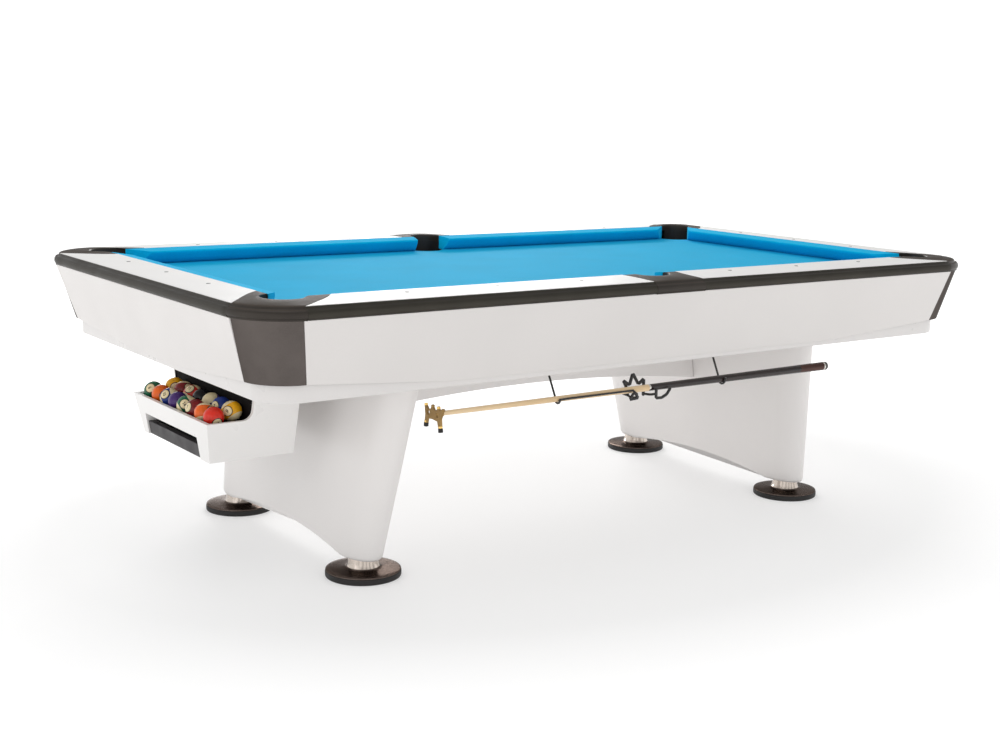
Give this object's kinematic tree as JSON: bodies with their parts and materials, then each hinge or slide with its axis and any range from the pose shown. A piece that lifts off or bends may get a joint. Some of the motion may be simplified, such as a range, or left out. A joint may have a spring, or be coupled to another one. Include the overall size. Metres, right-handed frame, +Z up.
{
  "type": "pool table",
  "caption": "Pool table on two panel pedestals, with slate bed, ball return, ball box with drawer, levelling feet and a bridge stick on hooks.",
  "frame": {"origin": "on the floor, under the middle of the table", "axes": "+X along the table, with the ball box at -X, +Y across it, +Z up"},
  "size_m": [2.6352, 1.5176, 0.8235],
  "materials": {
    "white_lacquer": "white satin lacquer on board",
    "white_laminate": "white satin laminate on the rail caps",
    "timber": "planed timber",
    "slate": "ground slate",
    "blue_cloth": "worsted cloth, tournament blue",
    "cushion_cloth": "worsted cloth over rubber",
    "trim_metal": "satin, dark warm grey coating",
    "casting_metal": "satin, dark warm grey coating",
    "panel_metal": "satin, dark warm grey coating",
    "liner_rubber": "moulded black rubber",
    "gully_plastic": "moulded grey plastic",
    "sight_inlay": "dark inlay",
    "bolt_steel": "zinc plated",
    "tray_plastic": "black lining",
    "ball_resin": "polished phenolic resin in fifteen colours",
    "drawer_plastic": "charcoal, satin",
    "black_wire": "black coated wire",
    "stick_wood": "maple shaft and dark stained butt",
    "head_brass": "cast, lightly tarnished",
    "foot_rubber": "black rubber",
    "foot_nickel": "satin nickel"
  },
  "bodies": {
    "table": {"pedestal_foot": "white_lacquer", "pedestal_head": "white_lacquer", "centre_beam": "white_lacquer", "lower_body": "white_lacquer", "slate_frame": "timber", "slates": "slate", "bed_cloth": "blue_cloth", "sub_rails": "timber", "cap_foot": "white_laminate", "cap_head": "white_laminate", "cap_front_foot": "white_laminate", "cap_front_head": "white_laminate", "cap_back_foot": "white_laminate", "cap_back_head": "white_laminate", "cushion_foot": "cushion_cloth", "cushion_head": "cushion_cloth", "cushion_front_foot": "cushion_cloth", "cushion_front_head": "cushion_cloth", "cushion_back_foot": "cushion_cloth", "cushion_back_head": "cushion_cloth", "trim_foot": "trim_metal", "trim_head": "trim_metal", "trim_front_foot": "trim_metal", "trim_front_head": "trim_metal", "trim_back_foot": "trim_metal", "trim_back_head": "trim_metal", "corner_casting_front_foot": "casting_metal", "corner_casting_front_head": "casting_metal", "corner_casting_back_foot": "casting_metal", "corner_casting_back_head": "casting_metal", "side_casting_front": "casting_metal", "side_casting_back": "casting_metal", "corner_panel_front_foot": "panel_metal", "corner_panel_front_head": "panel_metal", "corner_panel_back_foot": "panel_metal", "corner_panel_back_head": "panel_metal", "apron_front": "white_lacquer", "apron_back": "white_lacquer", "apron_foot": "white_lacquer", "apron_head": "white_lacquer", "pocket_liners": "liner_rubber", "ball_gully": "gully_plastic", "rail_sights": "sight_inlay", "rail_bolts": "bolt_steel", "ball_box": "white_lacquer", "ball_tray": "tray_plastic", "stick_hooks": "black_wire", "spider_head": "black_wire"},
    "foot_pad_front_foot": {"foot_ring_front_foot": "foot_rubber"},
    "foot_screw_front_foot": {"foot_disc_front_foot": "foot_nickel"},
    "foot_pad_front_head": {"foot_ring_front_head": "foot_rubber"},
    "foot_screw_front_head": {"foot_disc_front_head": "foot_nickel"},
    "foot_pad_back_foot": {"foot_ring_back_foot": "foot_rubber"},
    "foot_screw_back_foot": {"foot_disc_back_foot": "foot_nickel"},
    "foot_pad_back_head": {"foot_ring_back_head": "foot_rubber"},
    "foot_screw_back_head": {"foot_disc_back_head": "foot_nickel"},
    "drawer": {"drawer": "drawer_plastic"},
    "ball_set": {"balls": "ball_resin"},
    "stick": {"bridge_stick": "stick_wood", "bridge_head": "head_brass"}
  },
  "joints": [
    {"name": "foot_lift_front_foot", "type": "slide", "parent": "table", "child": "foot_pad_front_foot", "axis": [0, 0, -1], "range_m": [0, 0.0121]},
    {"name": "foot_turn_front_foot", "type": "hinge", "parent": "foot_pad_front_foot", "child": "foot_screw_front_foot", "pos_m": [-0.8215, -0.3993, 0.02], "axis": [0, 0, -1], "range_deg": [0, 1080]},
    {"name": "foot_lift_front_head", "type": "slide", "parent": "table", "child": "foot_pad_front_head", "axis": [0, 0, -1], "range_m": [0, 0.0121]},
    {"name": "foot_turn_front_head", "type": "hinge", "parent": "foot_pad_front_head", "child": "foot_screw_front_head", "pos_m": [0.8215, -0.3993, 0.02], "axis": [0, 0, -1], "range_deg": [0, 1080]},
    {"name": "foot_lift_back_foot", "type": "slide", "parent": "table", "child": "foot_pad_back_foot", "axis": [0, 0, -1], "range_m": [0, 0.0121]},
    {"name": "foot_turn_back_foot", "type": "hinge", "parent": "foot_pad_back_foot", "child": "foot_screw_back_foot", "pos_m": [-0.8215, 0.3993, 0.02], "axis": [0, 0, -1], "range_deg": [0, 1080]},
    {"name": "foot_lift_back_head", "type": "slide", "parent": "table", "child": "foot_pad_back_head", "axis": [0, 0, -1], "range_m": [0, 0.0121]},
    {"name": "foot_turn_back_head", "type": "hinge", "parent": "foot_pad_back_head", "child": "foot_screw_back_head", "pos_m": [0.8215, 0.3993, 0.02], "axis": [0, 0, -1], "range_deg": [0, 1080]},
    {"name": "drawer_slide", "type": "slide", "parent": "table", "child": "drawer", "axis": [-1, 0, 0], "range_m": [0, 0.18]},
    {"name": "ball_set_lift", "type": "slide", "parent": "table", "child": "ball_set", "axis": [0, 0, 1], "range_m": [0, 0.06]},
    {"name": "stick_lift", "type": "slide", "parent": "table", "child": "stick", "axis": [0, 0, 1], "range_m": [0, 0.03]}
  ],
  "couplings": [
    {"joint": "foot_lift_front_foot", "follows": "foot_turn_front_foot", "m_per_rad": 0.00063662},
    {"joint": "foot_lift_front_head", "follows": "foot_turn_front_head", "m_per_rad": 0.00063662},
    {"joint": "foot_lift_back_foot", "follows": "foot_turn_back_foot", "m_per_rad": 0.00063662},
    {"joint": "foot_lift_back_head", "follows": "foot_turn_back_head", "m_per_rad": 0.00063662}
  ]
}
